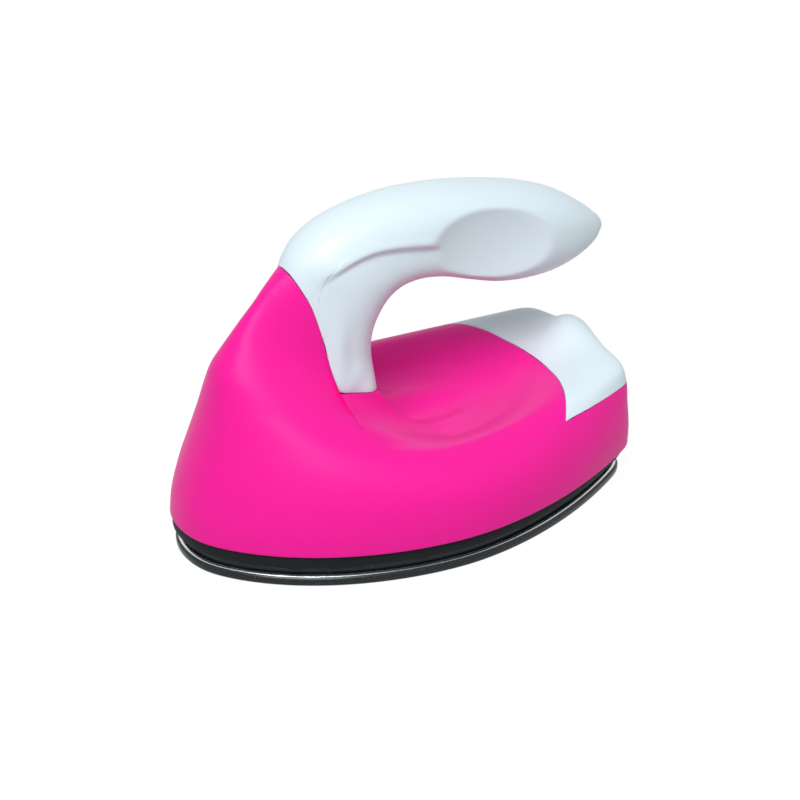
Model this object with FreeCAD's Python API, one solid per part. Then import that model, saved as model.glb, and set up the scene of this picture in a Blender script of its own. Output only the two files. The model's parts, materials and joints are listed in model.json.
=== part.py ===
import FreeCAD, Part
import math
import os

V = FreeCAD.Vector

# Mini handheld heat press, millimetres. Nose at -X, heel at +X, +Z up, mirror plane Y = 0.
# The origin is under the middle of the sole, on the surface that the sole rests on.

# Driving sizes: soleplate
sole_length = 100.0
sole_width = 65.5
sole_widest_x = 1.0          # where the outline is widest, from the middle of the sole
nose_power = 1.8             # roundness of the nose half of the outline
flank_taper = 0.5            # how far the flanks draw in towards the heel
heel_power = 30.0            # squareness of the heel corners
sole_edge_height = 1.9       # outer wall of the plate
sole_floor = 2.4             # thickness of the plate under the heater
sole_bevel = 0.7
sole_rim_inset = 1.5         # the raised rim stands this far in from the edge
sole_rim_width = 4.5
sole_height = 4.6

# Heat skirt between the sole and the cover
skirt_height = 2.8
skirt_overhang = 0.5
skirt_opening_inset = 11.0
nub_radius = 1.0
nub_depth = 0.5
nub_inset = 0.75             # the nubs' centres from the skirt's edge

# Cover, handle and cap
wall = 1.9
cover_overhang = 0.9         # the cover's lower edge stands this far out past the sole's ends
cover_length = sole_length + 2 * cover_overhang
cover_width = sole_width + 2.7
cover_height = 61.0          # top of the hidden tenon ring of the neck
seat_gap = 0.05              # running and seating clearance
cap_seam_height = 22.0
cap_seam_x = cover_length / 2 - 17.6
cap_seam_radius = 60.2
outlet_height = 21.6
outlet_radius = 3.0
hump_height = 4.0             # the swelling of the cap over the cord's outlet
hump_x = cover_length / 2 - 6.4
hump_length = 7.5
hump_width = 5.5
handle_wall = 2.2
tenon_length = 6.6
tenon_width = 10.0
tenon_x = -11.6
tenon_bottom = 18.5
collar_bottom = 14.0
rib_reach = 17.0             # side ribs from the collar to the flanks
neck_half = 10.4

# Fasteners
screw_radius = 1.4
screw_head_radius = 2.5
screw_head_height = 1.7
boss_radius = 3.0
small_screw_radius = 0.95
small_head_radius = 1.8
small_head_height = 1.2

# Heater
heater_x = 0.15 * sole_length
heater_length = 0.44 * sole_length
heater_width = 18.0
heater_wall = 0.8
tile_count = 3
tile_length = 0.12 * sole_length
tile_gap = 0.8
tile_width = 14.0
tile_height = 2.2
electrode_tail = 3.5          # the electrodes reach this far out of the case
electrode_thick = 0.3
film_thick = 0.1
clamp_width = 8.0
clamp_thick = 0.8
clamp_post_radius = 2.6
clamp_post_y = 14.2

# Thermostat
stat_x = heater_x - heater_length / 2 - 11.0
cup_radius = 7.0
cup_wall = 0.4
cup_height = 2.6
stat_base_height = 4.3
disc_radius = 6.2
disc_thick = 0.25
disc_rise = 0.8
pin_radius = 0.85
pin_travel = 0.5
arm_width = 2.6
arm_thick = 0.3
arm_pivot_back = 5.4         # pivot to push pin
arm_reach = 5.4              # push pin to the free end
contact_radius = 0.8
contact_thick = 0.3
contact_back = 4.6           # push pin to the contacts
strip_thick = 0.25
tab_thick = 0.4
ear_y = 9.5
pivot_radius = 0.4           # round root on which the arm turns

# Heat shield
shield_nose = stat_x - 12.0
shield_heel = heater_x + heater_length / 2 - 2.0
shield_half = sole_width / 2 - 12.25
shield_height = 4.2          # above the skirt
shield_thick = 0.5
flange_nose = shield_nose - 11.0
flange_heel = shield_heel + 11.0
flange_half = sole_width / 2 - 4.75

# Leads and fuse
lead_radius = 0.8
lead_bend = 1.8
lead_hole_gap = 0.4
joint_gap = 0.2              # solder between a lead's slanted end and its strip
fuse_radius = 1.5
fuse_length = 9.0
sleeve_wall = 0.3
connector_radius = 1.9
connector_length = 9.0
connector_x = 8.0
connector_y = 11.5

skirt_top = sole_height + skirt_height
flange_top = skirt_top + shield_thick

# Cover rings, lower edge to neck, as shares of the cover's length, width and height:
# nose x, heel x, widest x, half width, flank taper, corner power, z at nose, side and heel
cover_rings = [
    (-0.500, 0.500, 0.010, 0.500, 0.46, 30.0, 0.000, 0.000, 0.000),
    (-0.493, 0.499, 0.010, 0.496, 0.45, 30.0, 0.095, 0.086, 0.095),
    (-0.473, 0.496, 0.000, 0.478, 0.44, 30.0, 0.216, 0.172, 0.198),
    (-0.448, 0.491, -0.010, 0.444, 0.42, 40.0, 0.347, 0.239, 0.284),
    (-0.429, 0.479, -0.010, 0.400, 0.39, 30.0, 0.459, 0.282, 0.351),
    (-0.417, 0.432, -0.010, 0.352, 0.42, 10.0, 0.552, 0.297, 0.366),
    (-0.403, 0.365, -0.010, 0.302, 0.40, 5.0, 0.632, 0.276, 0.325),
    (-0.376, 0.308, -0.029, 0.243, 0.30, 3.2, 0.709, 0.235, 0.265),
    (-0.346, 0.216, -0.079, 0.185, 0.15, 2.6, 0.785, 0.216, 0.209),
    (-0.312, 0.069, -0.118, 0.141, 0.00, 2.3, 0.854, 0.244, 0.179),
    (-0.283, -0.029, -0.138, 0.128, 0.00, 2.1, 0.914, 0.384, 0.226),
    (-0.251, -0.054, -0.147, 0.123, 0.00, 2.1, 0.966, 0.664, 0.403),
    (-0.221, -0.079, -0.147, 0.109, 0.00, 2.0, 1.000, 1.000, 1.000),
]
ring_turn_x = 6.0            # forward of this line the rings climb towards the nose
ring_climb_power = 2.0       # eases off above the rim, where the neck stands steeper
neck_climb_ease = 0.5
ring_steps = 20
heel_crowding = 1.5          # draws an outline's points together at the heel's corners
ring_angles = [math.pi * (i / ring_steps) ** heel_crowding for i in range(ring_steps + 1)]
level_steps = 2
rim_level = 5                 # the row that runs along the crest of the rim

# Handle sections from the foot of the post to the tip of the grip:
# outer x, outer z, inner x, inner z, half width
handle_sections = [
    (-22.0, 24.0, -5.2, 24.0, 8.7),
    (-22.4, 33.0, -6.3, 33.0, 8.5),
    (-23.6, 44.0, -6.6, 42.0, 8.6),
    (-25.9, 53.5, -3.9, 47.9, 9.0),
    (-24.9, 60.2, 0.3, 50.8, 9.3),
    (-19.2, 65.6, 5.2, 51.2, 9.4),
    (-11.8, 68.5, 10.6, 50.1, 9.5),
    (-1.8, 70.0, 16.6, 47.9, 9.8),
    (9.0, 69.7, 23.6, 45.7, 10.0),
    (20.0, 68.1, 30.6, 44.8, 9.9),
    (31.0, 65.5, 37.4, 45.0, 9.2),
    (39.6, 62.2, 43.4, 46.5, 7.8),
    (46.4, 57.9, 47.9, 48.6, 5.6),
    (50.4, 54.0, 50.6, 51.4, 2.4),
]
handle_power = 2.3           # fullness of the grip's section
handle_steps = 14
solid_foot_count = 1         # sections at each end of the handle that are not hollow
solid_tip_count = 3
dimple_x = 18.6              # the thumb dimple is cut by an ellipsoid
dimple_z = 56.8
dimple_length = 36.0
dimple_height = 34.0
dimple_depth = 2.9
dimple_rise = 5.8            # half the ellipsoid's size across the handle
grip_half = 9.9              # half width of the handle at the dimple
dimple_tilt = -8.0
# Side line of the joint between the cover's neck and the handle, x and z
neck_seam = [(-27.4, 64.0), (-26.0, 60.6), (-24.6, 57.4), (-22.4, 52.0),
             (-20.5, 44.6), (-17.9, 33.6), (-5.0, 27.3)]

parts = {}


def box(x0, x1, y0, y1, z0, z1):
    return Part.makeBox(x1 - x0, y1 - y0, z1 - z0, V(x0, y0, z0))


def cyl(x, y, z0, z1, radius):
    return Part.makeCylinder(radius, z1 - z0, V(x, y, z0))


def half_width(x, nose, heel, widest, half, taper, corner):
    if x <= widest:
        share = min(1.0, (widest - x) / (widest - nose))
        return half * (1 - share ** nose_power) ** (1 / nose_power)
    share = min(1.0, (x - widest) / (heel - widest))
    return half * (1 - taper * share ** 1.9) * math.sqrt(max(0.0, 1 - share ** corner))


def closed_outline(points):
    # points run from heel to nose on the +Y side; the other side is their mirror image
    other = [V(p.x, -p.y, p.z) for p in reversed(points[1:-1])]
    curve = Part.BSplineCurve()
    curve.interpolate(Points=points + other, PeriodicFlag=True)
    return Part.Wire([curve.toShape()])


def plan_outline(nose, heel, half, z, widest=sole_widest_x, taper=flank_taper, corner=heel_power):
    points = []
    for angle in ring_angles:
        x = (nose + heel) / 2 + (heel - nose) / 2 * math.cos(angle)
        side = half_width(x, nose, heel, widest, half, taper, corner)
        points.append(V(x, side if 1e-6 < angle < math.pi - 1e-6 else 0.0, z))
    return closed_outline(points)


def plan_prism(nose, heel, half, z0, z1):
    face = Part.Face(plan_outline(nose, heel, half, z0))
    return face.extrude(V(0, 0, z1 - z0))


def sole_prism(inset, z0, z1):
    return plan_prism(-sole_length / 2 + inset, sole_length / 2 - inset, sole_width / 2 - inset, z0, z1)


def row_between(table, level):
    # a table's values between two of its rows, by a cubic through the rows' mean slopes
    last = len(table) - 1
    low = min(int(level), last - 1)
    f = level - low
    values = []
    for column in range(len(table[0])):
        def value(row):
            return table[min(max(row, 0), last)][column]
        slope_low = (value(low + 1) - value(low - 1)) / (1 if low == 0 else 2)
        slope_high = (value(low + 2) - value(low)) / (1 if low + 1 == last else 2)
        values.append((2 * f ** 3 - 3 * f ** 2 + 1) * value(low) + (f ** 3 - 2 * f ** 2 + f) * slope_low
                      + (3 * f ** 2 - 2 * f ** 3) * value(low + 1) + (f ** 3 - f ** 2) * slope_high)
    return values


def cover_point(level, angle):
    # the cover's outer skin: level picks the ring, angle runs from heel (0) to nose (pi)
    row = row_between(cover_rings, level)
    nose, heel, widest = [share * cover_length for share in row[:3]]
    rise = cover_height - skirt_top
    z_nose, z_side, z_heel = [skirt_top + share * rise for share in row[6:9]]
    x = (nose + heel) / 2 + (heel - nose) / 2 * math.cos(angle)
    y = half_width(x, nose, heel, widest, row[3] * cover_width, row[4], row[5])
    power = ring_climb_power - neck_climb_ease * min(1.0, max(0.0, (level - rim_level) / 2))
    climb = max(0.0, (ring_turn_x - x) / (ring_turn_x - nose)) ** power
    back = max(0.0, (x - ring_turn_x) / max(heel - ring_turn_x, 3.0)) ** 2
    z = z_side + (z_nose - z_side) * climb + (z_heel - z_side) * back
    deck = min(1.0, max(0.0, (z - outlet_height) / 3.0))
    spread = ((x - hump_x) / hump_length) ** 2 + (y / hump_width) ** 2
    return V(x, y if 1e-6 < angle < math.pi - 1e-6 else 0.0, z + deck * hump_height * math.exp(-spread))


def inner_point(level, angle):
    # the skin moved in by the wall along its normal
    step = 0.02
    low = max(level - step, 0.0)
    along = cover_point(level + step, angle) - cover_point(low, angle)
    middle = min(max(angle, step), math.pi - step)
    around = cover_point(level, middle + step) - cover_point(level, middle - step)
    normal = along.cross(around)
    if not step < angle < math.pi - step:
        normal.y = 0.0
    if level < step:
        normal.z = 0.0
    normal.normalize()
    point = cover_point(level, angle) + normal * wall
    if not 1e-6 < angle < math.pi - 1e-6:
        point.y = 0.0
    return point


def skin_solid(rows):
    # each row runs across the +Y side in one plane; the other side is a mirror image
    surface = Part.BSplineSurface()
    surface.interpolate(rows)
    side = surface.toShape()
    other = side.mirror(V(0, 0, 0), V(0, 1, 0))
    faces = [side, other]
    for row in (rows[0], rows[-1]):
        middle = Part.Vertex(row[len(row) // 2])
        rim = min(side.Edges, key=lambda edge: edge.distToShape(middle)[0])
        faces.append(Part.Face(Part.Wire([rim, rim.mirror(V(0, 0, 0), V(0, 1, 0))])))
    shell = Part.makeShell(faces)
    shell.sewShape()
    solid = Part.Solid(shell)
    if solid.Volume < 0:
        solid.reverse()
    return solid


def cover_outer():
    levels = [i / level_steps for i in range((len(cover_rings) - 1) * level_steps + 1)]
    return skin_solid([[cover_point(level, angle) for angle in ring_angles] for level in levels])


def cover_inner():
    rows = [[inner_point(0.0, angle) for angle in ring_angles]]
    rows.insert(0, [V(p.x, p.y, p.z - wall) for p in rows[0]])
    last = len(cover_rings) - 2
    for i in range(1, last * level_steps + 1):
        rows.append([inner_point(i / level_steps, angle) for angle in ring_angles])
    top = cover_height - 3 * wall
    rows.append([V(p.x * 0.97 - 0.4, p.y * 0.8, top) for p in
                 [cover_point(len(cover_rings) - 1, angle) for angle in ring_angles]])
    return skin_solid(rows)


def handle_solid(inset, squeeze=0.0, first=0, last=len(handle_sections) - 1):
    rows = []
    for step in range(first * level_steps, last * level_steps + 1):
        outer_x, outer_z, inner_x, inner_z, half = row_between(handle_sections, step / level_steps)
        outer_end = V(outer_x, 0, outer_z)
        inner_end = V(inner_x, 0, inner_z)
        across = outer_end - inner_end
        reach = across.Length / 2 - inset
        across.normalize()
        middle = (outer_end + inner_end) * 0.5
        width = half - inset - squeeze
        row = []
        for i in range(handle_steps + 1):
            angle = math.pi * i / handle_steps
            c = math.cos(angle)
            up = math.copysign(abs(c) ** (2 / handle_power), c) * reach
            out = math.sin(angle) ** (2 / handle_power) * width if 0 < i < handle_steps else 0.0
            row.append(middle + across * up + V(0, out, 0))
        rows.append(row)
    return skin_solid(rows)


def side_prism(points, half):
    wire = Part.makePolygon([V(x, -half, z) for x, z in points + points[:1]])
    return Part.Face(wire).extrude(V(0, 2 * half, 0))


def dimple_tool(side):
    ball = Part.makeSphere(1.0)
    matrix = FreeCAD.Matrix()
    matrix.scale(dimple_length / 2, dimple_rise, dimple_height / 2)
    matrix.rotateY(math.radians(-dimple_tilt))
    matrix.move(V(dimple_x, side * (grip_half - dimple_depth + dimple_rise), dimple_z))
    return ball.transformGeometry(matrix)


def screw(x, y, seat, tip, radius, head_radius, head_height, up=True):
    # seat is the height of the face under the head; the shank runs from there to the tip
    low, high = sorted((seat, tip))
    shank = cyl(x, y, low, high, radius)
    if up:
        head = cyl(x, y, seat - head_height, seat, head_radius)
        slot = box(x - head_radius, x + head_radius, y - 0.3, y + 0.3,
                   seat - head_height, seat - head_height + 0.6)
    else:
        head = cyl(x, y, seat, seat + head_height, head_radius)
        slot = box(x - head_radius, x + head_radius, y - 0.3, y + 0.3,
                   seat + head_height - 0.6, seat + head_height)
    return shank.fuse(head).cut(slot)


def tube(points, radius):
    # straight runs joined by tangent arcs
    edges = []
    start = points[0]
    for before, corner, after in zip(points, points[1:], points[2:]):
        inward = (before - corner).normalize()
        outward = (after - corner).normalize()
        half_turn = inward.getAngle(outward) / 2
        reach = lead_bend / math.tan(half_turn)
        arc_start = corner + inward * reach
        arc_end = corner + outward * reach
        bisector = (inward + outward).normalize()
        arc_mid = corner + bisector * (lead_bend / math.sin(half_turn) - lead_bend)
        if (arc_start - start).Length > 0.01:
            edges.append(Part.makeLine(start, arc_start))
        edges.append(Part.Arc(arc_start, arc_mid, arc_end).toShape())
        start = arc_end
    edges.append(Part.makeLine(start, points[-1]))
    path = Part.Wire(edges)
    circle = Part.Wire([Part.makeCircle(radius, points[0], points[1] - points[0])])
    return path.makePipeShell([circle], True, False)


sole_screw_y = sole_width / 2 - 7.75
body_screw_y = sole_width / 2 - 12.5
sole_screw_places = [(-0.37 * sole_length, 0.0), (0.06 * sole_length, sole_screw_y),
                     (0.06 * sole_length, -sole_screw_y)]
body_screw_places = [(share * sole_length, y) for share in (-0.23, 0.24) for y in (body_screw_y, -body_screw_y)]
cap_screw_x = cover_length / 2 - 10.4
cap_screw_y = 11.5
cap_screw_places = [(cap_screw_x, cap_screw_y), (cap_screw_x, -cap_screw_y)]
clamp_x = cover_length / 2 - 12.9
clamp_screw_y = 6.2
clamp_half = 2.2
clamp_end = 2.0              # the bar reaches this far past its screws
white_side = neck_seam + [(1.0, 25.6), (1.0, 90.0), (neck_seam[0][0], 90.0)]
pink_side = neck_seam + [(8.0, 20.9), (8.0, -5.0), (-60.0, -5.0), (-60.0, 64.0)]


def make_soleplate():
    plate = sole_prism(0.0, 0.0, sole_edge_height)
    half_edge = sole_width / 2
    bevel = Part.makeLoft([
        plan_outline(-sole_length / 2, sole_length / 2, half_edge, sole_edge_height),
        plan_outline(-sole_length / 2 + sole_bevel, sole_length / 2 - sole_bevel, half_edge - sole_bevel,
                     sole_floor)], True, True)
    rim = sole_prism(sole_rim_inset, sole_floor, sole_height)
    pocket = sole_prism(sole_rim_inset + sole_rim_width, sole_floor, sole_height)
    plate = plate.fuse(bevel).fuse(rim.cut(pocket))
    for x, y in sole_screw_places:
        plate = plate.fuse(cyl(x, y, sole_floor - 0.5, sole_height, boss_radius + 0.4))
    for y in (-clamp_post_y, clamp_post_y):
        plate = plate.fuse(cyl(heater_x, y, sole_floor - 0.5, heater_top, clamp_post_radius))
    for x, y in sole_screw_places:
        plate = plate.cut(cyl(x, y, 1.2, sole_height, screw_radius + seat_gap))
    for y in (-clamp_post_y, clamp_post_y):
        plate = plate.cut(cyl(heater_x, y, 1.2, heater_top, small_screw_radius + seat_gap))
    for y in (-ear_y, ear_y):
        plate = plate.cut(cyl(stat_x, y, 0.9, sole_floor, small_screw_radius + seat_gap))
    return plate


def make_skirt():
    ring = sole_prism(-skirt_overhang, sole_height, skirt_top)
    opening = sole_prism(skirt_opening_inset, sole_height, skirt_top)
    ring = ring.cut(opening)
    for x, y in sole_screw_places:
        ring = ring.cut(cyl(x, y, sole_height, skirt_top, screw_radius + seat_gap))
    for x, y in body_screw_places + cap_screw_places:
        ring = ring.cut(cyl(x, y, sole_height, skirt_top, screw_radius + seat_gap))
        ring = ring.cut(cyl(x, y, sole_height, sole_height + screw_head_height, screw_head_radius + 0.1))
    half = sole_width / 2 + skirt_overhang
    for share in (-0.36, -0.12, 0.12):
        x = share * sole_length
        for side in (-1, 1):
            y = side * (half_width(x, -sole_length / 2, sole_length / 2, sole_widest_x, half,
                                   flank_taper, heel_power) - nub_inset)
            nub = cyl(x, y, sole_height - nub_depth, sole_height, nub_radius)
            ring = ring.fuse(nub)
    return ring


def make_shield():
    rise = skirt_top + shield_height
    roof = plan_prism(shield_nose, shield_heel, shield_half, skirt_top, rise)
    hollow = plan_prism(shield_nose + shield_thick, shield_heel - shield_thick, shield_half - shield_thick,
                        skirt_top, rise - shield_thick)
    flange = plan_prism(flange_nose, flange_heel, flange_half, skirt_top, flange_top)
    shield = roof.fuse(flange).cut(hollow)
    for x, y in sole_screw_places + body_screw_places + cap_screw_places:
        shield = shield.cut(cyl(x, y, skirt_top, flange_top, screw_radius + seat_gap))
    for x, y in lead_holes:
        shield = shield.cut(cyl(x, y, rise - shield_thick, rise, lead_radius + lead_hole_gap))
    return shield


def make_cover(outer, inner, cap_zone):
    collar = box(tenon_x - 7.4, tenon_x + 6.4, -tenon_width / 2 - 2.6, tenon_width / 2 + 2.6,
                 collar_bottom, 34.0)
    ribs = box(tenon_x - wall / 2, tenon_x + wall / 2, -rib_reach, rib_reach, collar_bottom + 1.5, 34.0)
    collar = collar.fuse(ribs).common(outer)
    cover = outer.cut(inner)
    for x, y in body_screw_places:
        cover = cover.fuse(cyl(x, y, flange_top, 26.0, boss_radius).common(outer))
    cover = cover.fuse(collar)
    cover = cover.cut(side_prism(white_side, neck_half))
    cover = cover.cut(cap_zone)
    socket = box(tenon_x - tenon_length / 2 - seat_gap, tenon_x + tenon_length / 2 + seat_gap,
                 -tenon_width / 2 - seat_gap, tenon_width / 2 + seat_gap, tenon_bottom, 40.0)
    cover = cover.cut(socket)
    cover = cover.cut(cyl(tenon_x, 0, collar_bottom, tenon_bottom, screw_radius + seat_gap))
    for x, y in body_screw_places:
        cover = cover.cut(cyl(x, y, flange_top, 17.0, screw_radius + seat_gap))
    return cover.cut(outlet_tool())


def outlet_tool():
    return Part.makeCylinder(outlet_radius, 20.0, V(cover_length / 2 - 7.9, 0, outlet_height), V(1, 0, 0))


def make_cap(outer, inner, cap_zone):
    cap = outer.common(cap_zone).cut(inner)
    for x, y in cap_screw_places:
        cap = cap.fuse(cyl(x, y, flange_top, 26.5, boss_radius).common(outer))
    for y in (-clamp_screw_y, clamp_screw_y):
        cap = cap.fuse(cyl(clamp_x, y, clamp_top, 26.5, 2.2).common(outer))
    for x, y in cap_screw_places:
        cap = cap.cut(cyl(x, y, flange_top, 17.0, screw_radius + seat_gap))
    for y in (-clamp_screw_y, clamp_screw_y):
        cap = cap.cut(cyl(clamp_x, y, clamp_top, clamp_top + 3.0, small_screw_radius + seat_gap))
    return cap.cut(outlet_tool())


def make_handle():
    # the +Y half; the other half is its mirror image
    whole = handle_solid(0.0)
    whole = whole.cut(dimple_tool(1)).cut(dimple_tool(-1))
    whole = whole.cut(side_prism(pink_side, 30.0))
    half = whole.common(box(-60, 80, 0, 30, 0, 100))
    core_end = len(handle_sections) - 1 - solid_tip_count
    half = half.cut(handle_solid(handle_wall, dimple_depth, solid_foot_count, core_end))
    tenon = box(tenon_x - tenon_length / 2, tenon_x + tenon_length / 2, 0, tenon_width / 2,
                tenon_bottom + 0.3, 36.0)
    half = half.fuse(tenon)
    return half.cut(cyl(tenon_x, 0, tenon_bottom, 31.0, screw_radius + seat_gap))


def make_thermostat():
    floor_z = sole_floor
    cup = cyl(stat_x, 0, floor_z, floor_z + cup_height, cup_radius)
    for y in (-ear_y, ear_y):
        cup = cup.fuse(cyl(stat_x, y, floor_z, floor_z + cup_wall, 2.4))
        cup = cup.fuse(box(stat_x - 2.4, stat_x + 2.4, min(0, y), max(0, y), floor_z, floor_z + cup_wall))
    cup = cup.cut(cyl(stat_x, 0, floor_z + cup_wall, floor_z + cup_height, cup_radius - cup_wall))
    for y in (-ear_y, ear_y):
        cup = cup.cut(cyl(stat_x, y, floor_z, floor_z + cup_wall, small_screw_radius + seat_gap))
    parts["thermostat_cup"] = cup

    base_radius = cup_radius - cup_wall - seat_gap
    base_z = floor_z + cup_wall + disc_rise + 0.3
    base = cyl(stat_x, 0, base_z, stat_top, base_radius)
    base = base.cut(cyl(stat_x, 0, base_z, base_z + 0.7, disc_radius - 0.4))
    base = base.cut(cyl(stat_x, 0, base_z, stat_top, pin_radius + seat_gap))
    parts["thermostat_base"] = base

    # snap disc: a shallow spherical shell, bulging down, its rim under the base
    curve_radius = (disc_radius ** 2 + disc_rise ** 2) / (2 * disc_rise)
    centre = V(stat_x, 0, base_z - disc_rise + curve_radius)
    shell = Part.makeSphere(curve_radius, centre).cut(Part.makeSphere(curve_radius - disc_thick, centre))
    disc = shell.common(cyl(stat_x, 0, base_z - disc_rise - 0.1, base_z, disc_radius))
    parts["bimetal_disc"] = disc

    pin_low = base_z - disc_rise + disc_thick + 0.05
    pin = cyl(stat_x, 0, pin_low, arm_low - 0.05 - pin_radius, pin_radius)
    tip = Part.makeSphere(pin_radius, V(stat_x, 0, arm_low - 0.05 - pin_radius))
    parts["push_pin"] = pin.fuse(tip)

    pivot_x = stat_x - arm_pivot_back
    pivot_z = arm_low + arm_thick / 2
    arm = box(pivot_x, stat_x + arm_reach, -arm_width / 2, arm_width / 2, arm_low, arm_low + arm_thick)
    button = cyl(stat_x + contact_back, 0, arm_low - contact_thick, arm_low, contact_radius)
    root = Part.makeCylinder(pivot_radius, arm_width, V(pivot_x, -arm_width / 2, pivot_z), V(0, 1, 0))
    parts["contact_arm"] = arm.fuse(button).fuse(root)

    riser = box(pivot_x - 0.9, pivot_x + 0.9, -1.5, 1.5, stat_top, pivot_z - pivot_radius - 0.05)
    tab = box(pivot_x - 4.2, pivot_x - 0.9, -1.5, 1.5, stat_top, stat_top + tab_thick)
    parts["arm_terminal"] = riser.fuse(tab)

    fixed_x = stat_x + contact_back
    strip = box(fixed_x - 1.2, fixed_x + 6.0, -1.5, 1.5, stat_top, stat_top + strip_thick)
    button = cyl(fixed_x, 0, stat_top + strip_thick, arm_low - contact_thick - 0.02, contact_radius)
    parts["fixed_contact"] = strip.fuse(button)

    screws = [screw(stat_x, y, floor_z + cup_wall, 1.0, small_screw_radius, small_head_radius,
                    small_head_height, up=False) for y in (-ear_y, ear_y)]
    parts["thermostat_screws"] = Part.Compound(screws)


def make_heater():
    x0 = heater_x - heater_length / 2
    x1 = heater_x + heater_length / 2
    half = heater_width / 2
    case = box(x0, x1, -half, half, sole_floor, heater_top)
    case = case.cut(box(x0, x1, -half + heater_wall, half - heater_wall,
                        sole_floor + heater_wall, heater_top - heater_wall))
    parts["heater_case"] = case
    z = sole_floor + heater_wall
    strip_half = tile_width / 2
    run0 = x0 + 1.0
    run1 = x1 - 1.0
    lower_film = box(run0, run1, -strip_half, strip_half, z, z + film_thick)
    z += film_thick
    parts["electrode_lower"] = box(run0 + 1, x1 + electrode_tail, -strip_half + 1, strip_half - 1,
                                   z, z + electrode_thick)
    z += electrode_thick
    tiles = []
    for i in range(tile_count):
        middle = heater_x + (i - (tile_count - 1) / 2) * (tile_length + tile_gap)
        tiles.append(box(middle - tile_length / 2, middle + tile_length / 2, -strip_half, strip_half,
                         z, z + tile_height))
    parts["ptc_tiles"] = Part.Compound(tiles)
    z += tile_height
    parts["electrode_upper"] = box(x0 - electrode_tail, run1 - 1, -strip_half + 1, strip_half - 1,
                                   z, z + electrode_thick)
    z += electrode_thick
    upper_film = box(run0, run1, -strip_half, strip_half, z, z + film_thick)
    parts["heater_film"] = Part.Compound([lower_film, upper_film])

    clamp = box(heater_x - clamp_width / 2, heater_x + clamp_width / 2,
                -clamp_post_y - clamp_post_radius, clamp_post_y + clamp_post_radius,
                heater_top, heater_top + clamp_thick)
    screws = []
    for y in (-clamp_post_y, clamp_post_y):
        clamp = clamp.cut(cyl(heater_x, y, heater_top, heater_top + clamp_thick, small_screw_radius + seat_gap))
        screws.append(screw(heater_x, y, heater_top + clamp_thick, 1.4, small_screw_radius,
                            small_head_radius, small_head_height, up=False))
    parts["heater_clamp"] = clamp
    parts["clamp_screws"] = Part.Compound(screws)


heater_top = sole_floor + 2 * heater_wall + 2 * film_thick + 2 * electrode_thick + tile_height
stat_top = sole_floor + cup_wall + disc_rise + 0.3 + stat_base_height
arm_low = stat_top + strip_thick + 0.02 + 2 * contact_thick
clamp_top = 20.6
fuse_x = heater_x - heater_length / 2 + 3.0
fuse_y = -12.6
feed_hole_x = 0.24 * sole_length
supply_hole_x = fuse_x + 4.0
lead_holes = [(feed_hole_x, connector_y), (supply_hole_x, -connector_y)]


def make_leads():
    roof = skirt_top + shield_height
    connector_z = roof + connector_radius
    fuse_z = sole_floor + fuse_radius + sleeve_wall
    sleeve_x = fuse_x - 1.5
    sleeve_length = fuse_length + 3.0
    along = V(1, 0, 0)
    sleeve = Part.makeCylinder(fuse_radius + sleeve_wall, sleeve_length, V(sleeve_x, fuse_y, fuse_z), along)
    bore = Part.makeCylinder(fuse_radius, sleeve_length, V(sleeve_x, fuse_y, fuse_z), along)
    parts["fuse_sleeve"] = sleeve.cut(bore)
    parts["thermal_fuse"] = Part.makeCylinder(fuse_radius, fuse_length, V(fuse_x, fuse_y, fuse_z), along)

    # fuse to the side of the upper electrode's tail
    case_nose = heater_x - heater_length / 2
    tail_x = case_nose - electrode_tail / 2
    tail_z = heater_top - heater_wall - film_thick - electrode_thick / 2
    tail_y = -tile_width / 2 + 1.0
    parts["fuse_lead"] = tube([V(fuse_x, fuse_y, fuse_z), V(tail_x, fuse_y, fuse_z),
                               V(tail_x, tail_y - joint_gap, tail_z)], lead_radius)

    # other end of the fuse, up and over the heater to the fixed contact's strip
    fuse_end = fuse_x + fuse_length
    strip_z = stat_top + strip_thick + lead_radius
    strip_end = stat_x + contact_back + 4.0
    parts["link_lead"] = tube([V(fuse_end, fuse_y, fuse_z), V(fuse_end + 3.6, fuse_y, fuse_z),
                               V(fuse_end + 3.6, fuse_y, strip_z), V(strip_end + 6.5, 0, strip_z),
                               V(strip_end, 0, strip_z)], lead_radius)

    # side of the lower electrode's tail, round the case and up through the shield to its connector
    heel_x = heater_x + heater_length / 2 + electrode_tail / 2
    lower_z = sole_floor + heater_wall + film_thick + electrode_thick / 2
    parts["feed_lead"] = tube([V(heel_x, -tail_y, lower_z), V(heel_x, connector_y, lower_z),
                               V(feed_hole_x, connector_y, lower_z), V(feed_hole_x, connector_y, connector_z),
                               V(connector_x + connector_length, connector_y, connector_z)], lead_radius)

    # arm's terminal, past the thermostat and up through the shield to the other connector
    tab_x = stat_x - 8.0
    tab_z = stat_top + tab_thick / 2
    parts["supply_lead"] = tube([V(tab_x, -1.5, tab_z), V(tab_x, -6.0, tab_z),
                                 V(supply_hole_x, -connector_y, tab_z),
                                 V(supply_hole_x, -connector_y, connector_z),
                                 V(connector_x, -connector_y, connector_z)], lead_radius)
    connectors = [Part.makeCylinder(connector_radius, connector_length, V(connector_x, y, connector_z), along)
                  for y in (-connector_y, connector_y)]
    parts["lead_connectors"] = Part.Compound(connectors)


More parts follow.
